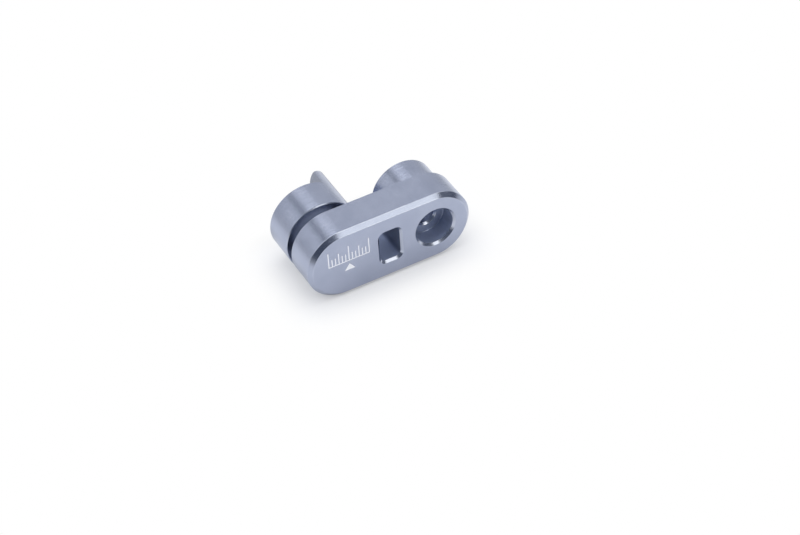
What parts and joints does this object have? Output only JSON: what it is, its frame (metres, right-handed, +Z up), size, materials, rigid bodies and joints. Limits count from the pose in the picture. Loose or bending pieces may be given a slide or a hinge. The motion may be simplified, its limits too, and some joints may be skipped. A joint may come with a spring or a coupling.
{
  "type": "servo horn",
  "caption": "One-piece machined servo arm: a flat plate with a splined, screw-recessed hub at one end and a grooved round post with a stop tongue at the other.",
  "frame": {"origin": "on the servo shaft's axis, in the plane on which the screw head seats", "axes": "+X along the arm from the post to the hub, -Y out of the plate's front face, +Z up, square to the plate's long narrow side, on which the part stands"},
  "size_m": [0.0272, 0.0178, 0.012],
  "materials": {
    "anodised_aluminium": "satin, fine bead-blasted surface with a light blue-grey anodised coat"
  },
  "bodies": {
    "root": {"servo_horn": "anodised_aluminium"}
  },
  "joints": []
}
